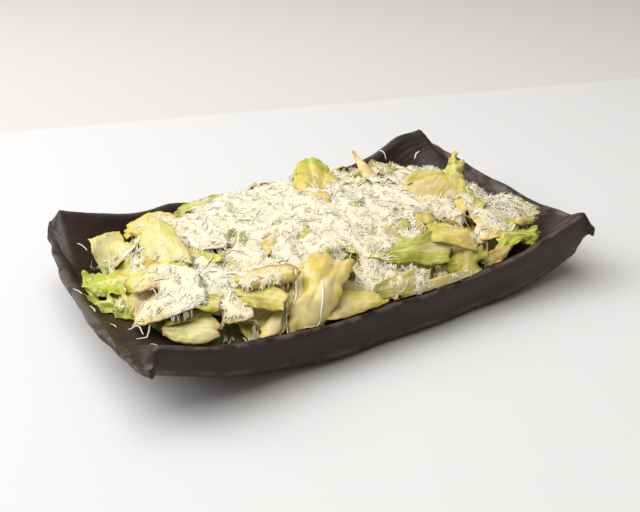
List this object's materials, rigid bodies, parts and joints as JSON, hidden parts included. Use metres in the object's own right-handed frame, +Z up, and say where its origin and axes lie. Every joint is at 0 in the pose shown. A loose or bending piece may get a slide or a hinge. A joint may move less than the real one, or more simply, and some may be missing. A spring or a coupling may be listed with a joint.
{
  "type": "caesar salad on a dish",
  "caption": "Torn lettuce salad under grated cheese, heaped on a long stoneware dish with upturned ends and uneven edges.",
  "frame": {"origin": "middle of the dish's flat foot, on the surface it stands on", "axes": "+X along the dish's length, +Y across it, +Z up"},
  "size_m": [0.3288, 0.188, 0.0715],
  "materials": {
    "stoneware_glaze": "dark brown-black satin glaze, ridged along the dish, lighter where it thins on edges",
    "lettuce": "torn lettuce, cream-yellow to leaf green, thin dressing gloss",
    "cheese": "grated hard cheese, warm white, matte"
  },
  "bodies": {
    "root": {"plate": "stoneware_glaze", "salad_heap": "lettuce"}
  },
  "joints": []
}
